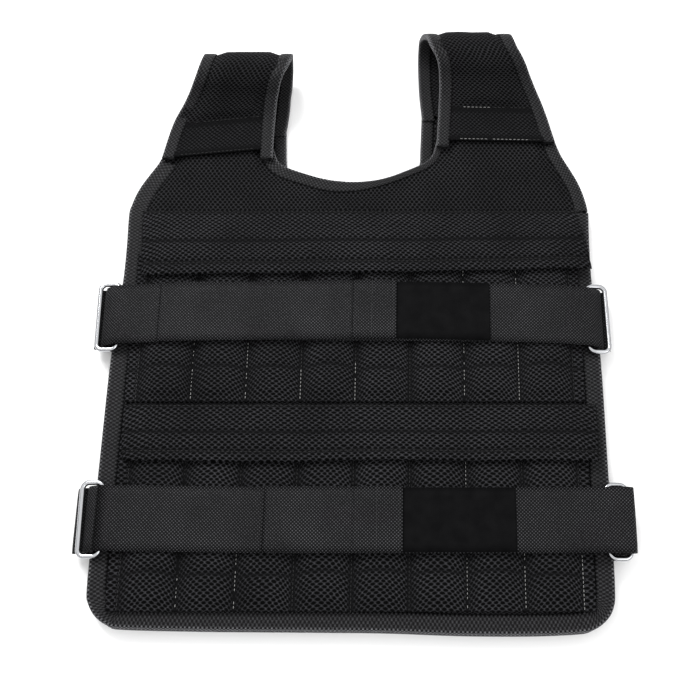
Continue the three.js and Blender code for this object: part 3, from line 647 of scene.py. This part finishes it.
def panel(node, voxel, seed):
    bm = mergedCopy(node)
    bm.loops.layers.uv.new("cloth")
    piece = finishPiece(node + "_cloth", bm, meshCloth)
    remesh = piece.modifiers.new("remesh", "REMESH")
    remesh.mode = "VOXEL"
    remesh.voxel_size = voxel * mm
    applyModifiers(piece)
    low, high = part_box(node)
    knit = panelLook["knit"]
    feet = []
    if node == "front_panel":
        for strapNode in ("shoulder_strap_left", "shoulder_strap_right"):
            stations = resample(bandRows(strapNode, strapEdge, 0), sweepSpacing)
            feet += [row[:2] for at, row in stations if at < panelLook["foot"] * mm]
    bm = bmesh.new()
    bm.from_mesh(piece.data)
    bmesh.ops.smooth_vert(bm, verts=bm.verts, factor=0.5, use_axis_x=True, use_axis_y=True, use_axis_z=True)
    uv = bm.loops.layers.uv.new("cloth")
    for vert in bm.verts:
        x, y = vert.co.x / mm, vert.co.y / mm
        upper = smoothstep(low.z + 1 * mm, high.z, vert.co.z)
        waves = wave(x, y, seed, 38) + 0.5 * wave(x, y, seed + 1, 15)
        vert.co.z += panelLook["ripple"] * mm * upper * waves
        if feet and y > 0:
            height, cover = strapOver(vert.co, feet)
            vert.co.z += cover * min(0, height - panelLook["underStraps"] * mm - vert.co.z)
    for face in bm.faces:
        for loop in face.loops:
            loop[uv].uv = (loop.vert.co.x / mm / knit[0], loop.vert.co.y / mm / knit[1])
    bm.to_mesh(piece.data)
    bm.free()
    for face in piece.data.polygons:
        face.use_smooth = True
    piece.data.materials.clear()
    piece.data.materials.append(meshCloth)
    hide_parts(node)
    return piece


# each panel with its voxel size in mm and the seed of its waves
pieces = [panel("front_panel", 2.6, 3), panel("back_panel", 2.7, 5)]
print("panels done")


# Binding tape folded over the edges

# How far each tape swells in mm, and how far its ends reach past the solid's if not as in tapeFold.
tapes = {
    "front_binding": {"puff": 0.5},
    "armhole_binding": {"puff": 0.4},
    "back_binding": {"puff": 0.3},
    "neck_binding": {"puff": 0.5},
    "back_neck_binding": {"puff": 0.4},
    "strap_outer_binding_left": {"puff": 0.4, "reach": 5},
    "strap_inner_binding_left": {"puff": 0.6, "reach": 5},
    "strap_outer_binding_right": {"puff": 0.4},
    "strap_inner_binding_right": {"puff": 0.6, "reach": 5},
}
tapeFold = {
    "rung": 3.2,  # mm, height of the solid's edge
    "layer": 1.0,  # mm, thickness of the tape
    "points": 7,  # points over each side and round the fold
    "pitch": 1.3,  # mm of tape from point to point
    "reach": 1.2,  # mm past the solid's ends
    "foot": 30,  # mm over which a strap's tape is pressed where it is sewn on the chest
    "flatter": 0.45,  # share of its height that it loses there
    "sink": 1.2,  # mm that it goes down there
}


def tapeRows(node):
    bm = mergedCopy(node)
    pairs = rungChains(bm, tapeFold["rung"])[0]
    byPlace = {tuple(round(c, 6) for c in v.co): v for v in bm.verts}
    rows = []
    for i, (top, low) in enumerate(pairs):
        ahead = pairs[min(i + 1, len(pairs) - 1)][0] - pairs[max(i - 1, 0)][0]
        up = (top - low).normalized()
        side = ahead.normalized().cross(up)
        vert = byPlace[tuple(round(c, 6) for c in top)]
        reach = [e.other_vert(vert).co - top for e in vert.link_edges]
        level = [way for way in reach if abs(way.dot(up)) < 0.2 * way.length]
        inward = max(level, key=lambda way: abs(way.dot(side)) ** 2 / way.length)
        rows.append(((top + low) / 2, inward, up * (top - low).length / 2))
    bm.free()
    return rows


def binding(node, look):
    rows = tapeRows(node)
    for end, beside in ((0, 1), (-1, -2)):
        past = (rows[end][0] - rows[beside][0]).normalized() * look.get("reach", tapeFold["reach"]) * mm
        rows[end] = (rows[end][0] + past, rows[end][1], rows[end][2])
    onChest = node.startswith("strap_")
    layer = tapeFold["layer"] * mm
    arc = tapeFold["points"]
    laid = []
    for at, (place, inward, up) in resample(rows, sweepSpacing):
        laid.append((at, place, inward.length, inward.normalized(), up.normalized(), up.length))

    def point(station, k):
        at, place, width, inward, up, half = station
        pressed = 1 - smoothstep(0, tapeFold["foot"] * mm, at) if onChest else 0
        half *= 1 - tapeFold["flatter"] * pressed
        place = place - Vector((0, 0, tapeFold["sink"] * mm * pressed))
        puff = look["puff"] * mm
        outer = half + layer
        ring = []
        for i in range(arc):
            share = 1 - i / arc
            swell = puff * (1 - (2 * share - 1) ** 4) * 0.6
            ring.append((share * width, outer - layer * 0.5 * share ** 6 + swell * 0.5))
        for i in range(arc + 1):
            angle = math.pi / 2 - math.pi * i / arc
            ring.append((-layer * math.cos(angle), outer * math.sin(angle)))
        for i in range(arc):
            share = (i + 1) / arc
            ring.append((share * width, -outer))
        for share in (1, 0.5, 0):
            ring.append((share * width, -half))
        for share in (0, 0.5, 1):
            ring.append((share * width, half))
        into, lift = ring[k]
        return place + inward * into + up * lift

    count = 3 * arc + 7  # two sides, the fold and the inner faces of the tape

    def uvOf(stage, k):
        return (laid[stage][0] / mm, k * tapeFold["pitch"])

    bm = sweep(laid, count, point, uvOf)
    piece = finishPiece(node + "_tape", bm, tapeCloth)
    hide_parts(node)
    return piece


pieces += [binding(node, look) for node, look in tapes.items()]
print("bindings done")


# Shoulder straps: foam in air mesh, thin where it is sewn and thick between its edges

strapLook = {
    "knit": (4.0, 1.8),  # mm between holes and between rows
    "across": 34,  # points round the section
    "spacing": 2.0,  # mm
    "tape": 9.8,  # mm from the edge that the tape takes
    "slope": 9,  # mm over which the foam rises
    "full": 8,  # mm thick between the edges
    "sewn": 2.6,  # mm thick where it is sewn down
    "least": 0.8,  # mm thick in a seam
    "seam": 1.1,  # mm that a seam draws it in
    "sink": 0.5,  # mm
    "band": 33,  # mm of strap sewn down on the chest
    "spread": 60,  # mm, the half width that the waves run over
}
# How far each chest seam slants in mm, and its rows of stitches: place from the strap's end in mm, then
# from where to where across the strap.
strapSewing = {
    "shoulder_strap_left": {"tilt": 4.5, "dark": [(2, -0.7, 0.7), (33, -0.7, 0.7)], "pale": []},
    "shoulder_strap_right": {
        "tilt": -1, "dark": [(2, 0.6, 0.8), (33, 0.05, 0.7)], "pale": [(2, -0.6, 0.6), (33, -0.62, 0.05)],
    },
}


def strap(node, seed):
    look = strapLook
    stations = resample(bandRows(node, strapEdge, 0), look["spacing"])
    count = look["across"]
    band = look["band"]

    def spot(station, share, top):
        at, (place, reach, up) = station
        atMm = at / mm
        inset = reach.length / mm * (1 - abs(share))
        rise = smoothstep(look["tape"] - 1, look["tape"] + look["slope"], inset)
        free = smoothstep(band - 3, band + 8, atMm)
        thick = strapEdge + (look["full"] * free + look["sewn"] * (1 - free) - strapEdge) * rise
        seams = math.exp(-((atMm - 1.5) / 1.5) ** 2) + math.exp(-((atMm - band) / 2) ** 2)
        thick = max(look["least"], thick - look["seam"] * seams * rise)
        ripple = 0.5 * free * rise * wave(share * look["spread"], atMm, seed, 22)
        lift = thick / 2 + ripple if top else -thick / 2
        point = place + reach * share + up.normalized() * lift * mm
        point.z -= look["sink"] * mm * (1 - smoothstep(0, 40, atMm))
        point.y += strapSewing[node]["tilt"] * mm * share * (1 - smoothstep(band, 2 * band, atMm))
        return point

    def uvOf(stage, k):
        at, (place, reach, up) = stations[stage]
        return (flatShare(k, count)[0] * reach.length / mm / look["knit"][0], at / mm / look["knit"][1])

    bm = sweep(stations, count, lambda station, k: spot(station, *flatShare(k, count)), uvOf)
    pressed = bm.verts.layers.float.new("pressed")
    stage = bm.verts.layers.int["stage"]
    number = bm.verts.layers.int["number"]
    for vert in bm.verts:
        at = stations[vert[stage]][0] / mm
        share = flatShare(vert[number], count)[0]
        middle = 0.5 + 0.5 * wave(share * look["spread"], at, seed + 3, 12)
        sewn = max(math.exp(-((at - c) / 3.4) ** 4) for c in (2, band - 3))
        vert[pressed] = max(0.9 * sewn, middle * (1 - smoothstep(band - 4, band, at)) * 0.5)
    piece = finishPiece(node + "_cloth", bm, meshCloth)
    threads = []
    for name, material in (("dark", blackThread), ("pale", paleThread)):
        lines = []
        for at, start, stop in strapSewing[node][name]:
            station = min(stations, key=lambda row: abs(row[0] / mm - at))
            lines.append([spot(station, start + (stop - start) * i / 40, True) for i in range(41)])
        if lines:
            sewing = {"width": 0.6, "seed": seed, "lift": 0.25, "skip": 0.1}
            threads.append(stitchLine(f"{node}_{name}_stitches", lines, material, **sewing))
    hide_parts(node)
    return [piece, *threads]


pieces += strap("shoulder_strap_left", 41) + strap("shoulder_strap_right", 43)
print("straps done")


# Rows of weight pockets

vestLean = 8 / 372  # the vest lies a little skewed: x moves by this share of the height
rowLook = {
    "pockets": 8,
    "margin": 8.7,  # mm from a row's side to its first column of stitches
    "wall": 1.4,  # mm
    "hollow": 4.7,  # mm that a full pocket rises
    "bow": 5.0,  # mm that the rows of holes drop towards the stitches
    "grid": 1.5,  # mm between mesh lines
    "crease": 0.205,  # where a pocket is creased, of the row's height
    "deep": 0.3,  # of the hollow
    "slack": 1.03,  # cloth across that the swelling takes up, against the flat width
    "clear": 0.1,  # mm that cloth and stitches keep from what they lie on
}
# columns whose stitches show pale thread, and between which shares of the row's height
paleColumns = {
    "upper_pocket_row": {
        1: (0.02, 0.42), 2: (0.02, 0.4), 3: (0.02, 0.2), 4: (0.02, 0.25), 6: (0.02, 1), 7: (0.02, 1),
    },
    "lower_pocket_row": {1: (0.02, 0.2), 2: (0.02, 0.42), 6: (0.02, 1), 7: (0.02, 0.4), 8: (0.02, 0.6)},
}
rowKnit = {"upper_pocket_row": (5.2, 2.0), "lower_pocket_row": (5.4, 2.2)}
# how far a pocket swells at each share of the row's height
swellUp = [(0, 0), (0.02, 0.12), (0.085, 0.86), (0.16, 0.95), (0.26, 0.97), (0.6, 1), (1, 0.6)]


def lookUp(table, place):
    for (a, p), (b, q) in zip(table, table[1:]):
        if place <= b:
            t = (place - a) / (b - a)
            t = t * t * (3 - 2 * t)
            return p + (q - p) * t
    return table[-1][1]


def pocketRow(node, seed):
    look = rowLook
    knit = rowKnit[node]
    rng = random.Random(seed)
    low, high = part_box(node)
    tall = (high.y - low.y) / mm
    wide = (high.x - low.x) / mm - tall * vestLean
    pocket = (wide - 2 * look["margin"]) / look["pockets"]
    count = look["pockets"]
    nature = [
        {
            "full": rng.uniform(0.82, 1.0),
            "tip": rng.uniform(-0.2, 0.2),
            "bend": rng.uniform(0.01, 0.035),
            "slip": rng.uniform(-0.012, 0.012),
            "fold": rng.uniform(0.4, 1.0),
        }
        for _ in range(count)
    ]

    def surface(u, v):
        t = v / tall
        s = (u - look["margin"]) / pocket
        i = int(min(count - 1, max(0, math.floor(s))))
        inside = 0 <= s <= count
        local = s - i
        kind = nature[i]
        off = abs(2 * local - 1)
        across = (1 - off ** 3.2) if inside else 0
        crease = look["crease"] + kind["slip"] + kind["bend"] * (math.sin(local * math.pi) if inside else 0)
        line = math.exp(-(((t - crease) / 0.02) ** 2))
        # the crease is darkened as squeezed knit with painted shade in the crease
        creaseSqueezeAndShade = math.exp(-(((t - crease) / 0.011) ** 2))
        up = lookUp(swellUp, t) - look["deep"] * line
        height = across * up * kind["full"] * (1 + kind["tip"] * (2 * local - 1))
        height += 0.12 * across * up * wave(u, v, seed, 13) * kind["fold"]
        beside = min(abs(local), abs(1 - local))
        # the seams are darkened as squeezed knit with painted shade beside them
        seam = 1 - smoothstep(0.02, 0.08, beside) if inside else 0
        # painted shade: darker over the left part of each pocket, beside its seam
        leftSideShade = 1 - smoothstep(0.04, 0.24, local) if inside else 0
        # darkening for the pressed attribute: squeezed knit, and painted shade by the seams, in the crease,
        # along the row's sewn bottom edge and over the left part of each pocket
        squeezeAndShade = max(0.9 * seam, 0.45 * leftSideShade, 0.8 * creaseSqueezeAndShade, 0.5 * (1 - smoothstep(0, 0.015, t)))
        return max(0, min(1, height)), off if inside else 1, local, squeezeAndShade, inside

    def spot(u, v, lift=0.0):
        z = low.z / mm + look["wall"] / 2 + look["clear"] + look["hollow"] * surface(u, v)[0] + lift
        return Vector((low.x / mm + u + v * vestLean, low.y / mm + v, z)) * mm

    bm = bmesh.new()
    nx, ny = round(wide / look["grid"]), round(tall / look["grid"])
    bmesh.ops.create_grid(bm, x_segments=nx, y_segments=ny, size=0.5)
    uv = bm.loops.layers.uv.new("cloth")
    pressed = bm.verts.layers.float.new("pressed")
    holes = {}
    for vert in bm.verts:
        u, v = (vert.co.x + 0.5) * wide, (vert.co.y + 0.5) * tall
        _, off, local, squeezeAndShade, inside = surface(u, v)
        vert.co = spot(u, v)
        vert[pressed] = squeezeAndShade
        pull = 0.25 * pocket * (local - 0.5) * off ** 2 if inside else 0
        holes[vert] = ((u + pull) / knit[0], (v + look["bow"] * off ** 2.2) / knit[1])
    piece = clothSheet(node + "_cloth", bm, uv, holes, look["wall"], 0)
    shown, hidden = [], []
    steps = 60
    for i in range(count + 1):
        u = look["margin"] + i * pocket
        line = [spot(u, tall * k / steps, look["wall"] / 2 + look["clear"]) for k in range(steps + 1)]
        start, stop = (round(steps * share) for share in paleColumns[node].get(i, (0, 0)))
        shown.append(line[start : stop + 1])
        hidden.append(line[stop:])
    pale = stitchLine(
        node + "_column_stitches", shown, paleThread, seed=seed, length=2.2, gap=1.0, width=0.7, skip=0.15,
    )
    dark = stitchLine(node + "_dark_stitches", hidden, blackThread, seed=seed, length=2.2, gap=0.9)
    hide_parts(node)
    return [piece, pale, dark]


pieces += pocketRow("upper_pocket_row", 11) + pocketRow("lower_pocket_row", 23)
print("pockets done")


# Flaps over the pockets' mouths

flapLook = {
    "grid": 1.5,  # mm between mesh lines
    "full": 3.2,  # mm
    "wall": 1.4,  # mm
    "seams": (0.03, 0.5, 0.83),  # shares of the way down, each darkened as squeezed knit with painted shade in its groove
    "sewn": (0.03, 0.83),  # which of the seams show stitches
    "stitches": 240,  # steps along a row of them
    "rise": 1.06,  # cloth that the way up over the pockets' mouths takes, against the flat height
    "climb": 3.4,  # mm from the solid's top down to a full flap's underside
    "least": 0.9,  # mm that the cloth stays above the solid's foot
    "spread": 360,  # mm, the width that the waves run over
}
# Widths, slants and edges in mm: left and right are the edges from the vest's middle, slant is the height
# that the lower edge gains on its way across, and taper and flare move the two sides on the way down.
flaps = {
    "upper_flap": {
        "slant": 5, "left": -181.5, "taper": 6, "right": 182.3, "flare": 9, "knit": (4.9, 1.95), "seed": 31,
    },
    "lower_flap": {
        "slant": 0, "left": -181.5, "taper": 4, "right": 189.9, "flare": -2, "knit": (5.4, 2.1), "seed": 37,
    },
}
# (share of the way down, how far it has climbed on the pockets, how full it is)
flapBands = [
    (0, 0.0, 0.4), (0.08, 0.02, 0.85), (0.28, 0.3, 1), (0.43, 0.62, 0.95), (0.5, 0.75, 0.5),
    (0.58, 0.9, 0.95), (0.75, 1, 0.95), (0.83, 1, 0.5), (0.9, 1, 0.85), (0.97, 1, 0.8), (1, 1, 0.45),
]
hemY = -254.8  # mm, the hem's place in the frame
middleX = -2.32  # mm, the vest's middle at the hem


def flap(node, look):
    seed = look["seed"]
    knit = look["knit"]
    low, high = (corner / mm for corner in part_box(node))
    tall = high.y - low.y - abs(look["slant"])
    wide = look["right"] - look["left"]
    lifts = [(down, lift) for down, lift, _ in flapBands]
    thicks = [(down, thick) for down, _, thick in flapBands]
    climb = high.z - flapLook["climb"] - low.z
    spread = flapLook["spread"]

    def spot(share, down):
        sag = 0.012 * wave(share * spread, 0, seed, 45)
        y = high.y + (low.y + abs(look["slant"]) * (0.5 + share) - high.y) * down
        y += 1.2 * wave(share * spread, 40 * down, seed + 2, 60) * (0.3 + down)
        x = look["left"] + look["taper"] * down
        x += (look["right"] + look["flare"] * down - x) * share
        x += (y - hemY) * vestLean + middleX
        z = low.z + climb * lookUp(lifts, down) + flapLook["full"] * lookUp(thicks, down + sag)
        z += 0.35 * wave(x, y, seed, 26) * smoothstep(0, 0.2, down)
        ends = min(share, 1 - share) * wide
        z -= 0.9 * (1 - smoothstep(0, 3, ends)) + 0.5 * math.exp(-(((ends - 9) / 2) ** 2))
        return Vector((x, y, max(z, low.z + flapLook["least"]))) * mm

    bm = bmesh.new()
    nx, ny = round(wide / flapLook["grid"]), round(tall / flapLook["grid"])
    bmesh.ops.create_grid(bm, x_segments=nx, y_segments=ny, size=0.5)
    uv = bm.loops.layers.uv.new("cloth")
    pressed = bm.verts.layers.float.new("pressed")
    holes = {}
    for vert in bm.verts:
        share, down = vert.co.x + 0.5, 0.5 - vert.co.y
        vert.co = spot(share, down)
        u, v = share * wide, (1 - down) * tall
        drag = 9 * math.exp(-u / 30) + 7 * math.exp(-(wide - u) / 25)
        holes[vert] = (u / knit[0], (v + drag + 2.5 * wave(u, v, seed + 5, 55)) / knit[1])
        # the seams are darkened as squeezed knit, with painted shade in the grooves along them, the one above
        # the flap's top edge most
        near = max(math.exp(-(((down - c) / 0.028) ** 2)) for c in flapLook["seams"])
        vert[pressed] = 0.9 * near
    piece = clothSheet(node + "_cloth", bm, uv, holes, flapLook["wall"], -1)
    steps = flapLook["stitches"]
    lines = [[spot(k / steps, down) for k in range(steps + 1)] for down in flapLook["sewn"]]
    thread = stitchLine(node + "_stitches", lines, blackThread, seed=seed, lift=0.2)
    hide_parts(node)
    return [piece, thread]


for node, look in flaps.items():
    pieces += flap(node, look)
print("flaps done")


# Belts and ring tabs of webbing

beltLook = {
    "thick": {"belt": 1.5, "tab": 1.0, "patch": 1.2},  # mm
    "across": 18,  # points round the section
    "spacing": 2.0,  # mm
    "hem": (3, 19),  # mm from the free end to the rows of stitches
    "hemWide": 0.94,  # of half the belt's width
}


def strip(node, thick, material, suffix):
    stations = resample(bandRows(node, thick, 1), beltLook["spacing"])
    count = beltLook["across"]

    def point(station, k):
        at, (place, reach, up) = station
        share, top = flatShare(k, count)
        rim = 1 - 0.35 * abs(share) ** 10
        lift = thick / 2 * rim * (1 if top else -1)
        return place + reach * share + up.normalized() * lift * mm

    def uvOf(stage, k):
        at, (place, reach, up) = stations[stage]
        return (at / mm, flatShare(k, count)[0] * reach.length / mm)

    piece = finishPiece(node + suffix, sweep(stations, count, point, uvOf), material)
    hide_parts(node)
    if "belt_left" not in node:
        return [piece]
    ends = stations if stations[-1][1][0].z > stations[0][1][0].z else stations[::-1]
    free = ends[-1][0]
    wide = beltLook["hemWide"]
    lines = []
    for inset in beltLook["hem"]:
        at, (place, reach, up) = min(ends, key=lambda row: abs(abs(row[0] - free) / mm - inset))
        up = up.normalized() * (1 if up.z > 0 else -1)
        lines.append([place + reach * (wide - 2 * wide * i / 12) + up * thick / 2 * mm for i in range(13)])
    thread = stitchLine(node + "_stitches", lines, blackThread, length=1.9, gap=0.8)
    return [piece, thread]


thick = beltLook["thick"]
for level in ("upper", "lower"):
    for side in ("left", "right"):
        pieces += strip(f"{level}_belt_{side}", thick["belt"], webbingCloth, "_woven")
        pieces += strip(f"{level}_ring_tab_{side}", thick["tab"], webbingCloth, "_woven")
    pieces += strip(f"{level}_hook_patch", thick["patch"], hookCloth, "_hooks")
print("belts done")


# Rings of chromed wire

ringLook = {"wire": 4.0, "corner": 5.0, "sides": 20, "cornerSteps": 8}  # wire and corner in mm


def ring(node):
    look = ringLook
    low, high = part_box(node)
    wire, corner = look["wire"] / 2 * mm, look["corner"] * mm
    middle = (low + high) / 2
    long = (high.y - low.y) / 2 - wire
    short = (high.x - low.x) / 2 - wire
    drop = (high.z - low.z) / 2 - wire
    bm = bmesh.new()
    bmesh.ops.create_circle(bm, segments=look["sides"], radius=wire)
    # the circle stands across the right-hand bar, at its lower end
    bmesh.ops.rotate(bm, verts=bm.verts, cent=(0, 0, 0), matrix=Matrix.Rotation(math.pi / 2, 3, "X"))
    bmesh.ops.translate(bm, verts=bm.verts, vec=(short, -(long - corner), 0))
    edges = list(bm.edges)
    tall, across = 2 * (long - corner), 2 * (short - corner)
    runs = [(0, tall), (-across, 0), (0, -tall), (across, 0)]
    corners = [(1, 1), (-1, 1), (-1, -1), (1, -1)]
    for (dx, dy), (cx, cy) in zip(runs, corners):
        made = bmesh.ops.extrude_edge_only(bm, edges=edges)["geom"]
        verts = [g for g in made if isinstance(g, bmesh.types.BMVert)]
        bmesh.ops.translate(bm, verts=verts, vec=(dx, dy, 0))
        edges = [g for g in made if isinstance(g, bmesh.types.BMEdge) and all(v in verts for v in g.verts)]
        turned = bmesh.ops.spin(
            bm, geom=edges + verts, cent=(cx * (short - corner), cy * (long - corner), 0), axis=(0, 0, 1),
            angle=math.pi / 2, steps=look["cornerSteps"], use_merge=False,
        )["geom_last"]
        edges = [g for g in turned if isinstance(g, bmesh.types.BMEdge)]
    bmesh.ops.remove_doubles(bm, verts=bm.verts, dist=0.01 * mm)
    bmesh.ops.recalc_face_normals(bm, faces=bm.faces)
    slope = math.atan2(drop, short) * (-1 if middle.x > 0 else 1)
    bmesh.ops.rotate(bm, verts=bm.verts, cent=(0, 0, 0), matrix=Matrix.Rotation(-slope, 3, "Y"))
    bmesh.ops.translate(bm, verts=bm.verts, vec=middle)
    piece = finishPiece(node + "_wire", bm, wireMetal)
    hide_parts(node)
    return piece


for level in ("upper", "lower"):
    for side in ("left", "right"):
        pieces.append(ring(f"{level}_ring_{side}"))
print("rings done")

for piece in pieces:
    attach(piece, "root")

print("piece count", len(pieces))
